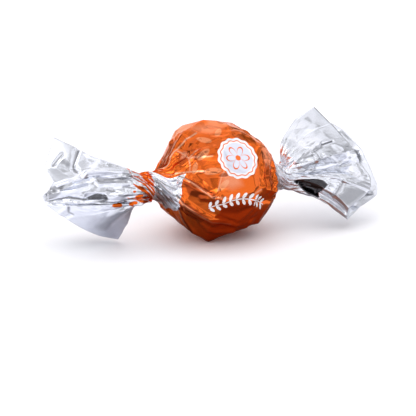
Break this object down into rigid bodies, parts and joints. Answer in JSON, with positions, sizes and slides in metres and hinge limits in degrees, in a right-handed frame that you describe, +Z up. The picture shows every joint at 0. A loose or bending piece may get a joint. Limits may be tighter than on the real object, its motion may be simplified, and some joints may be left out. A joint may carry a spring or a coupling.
{
  "type": "foil-wrapped liqueur praline",
  "caption": "Round liqueur praline twist-wrapped in printed metal foil, with a fanned, folded silver tail at each end.",
  "frame": {"origin": "middle of the small flat spot under the ball, on the surface that the praline rests on", "axes": "+Z up, +X along the twist from the left tail to the right tail, -Y towards the side that shows"},
  "size_m": [0.0869, 0.0299, 0.0295],
  "materials": {
    "printed_foil": "thin crinkled foil, orange print over the ball",
    "bare_foil": "bright crinkled silver foil of the necks and tails"
  },
  "bodies": {
    "root": {"foil_wrapper": "printed_foil"}
  },
  "joints": []
}
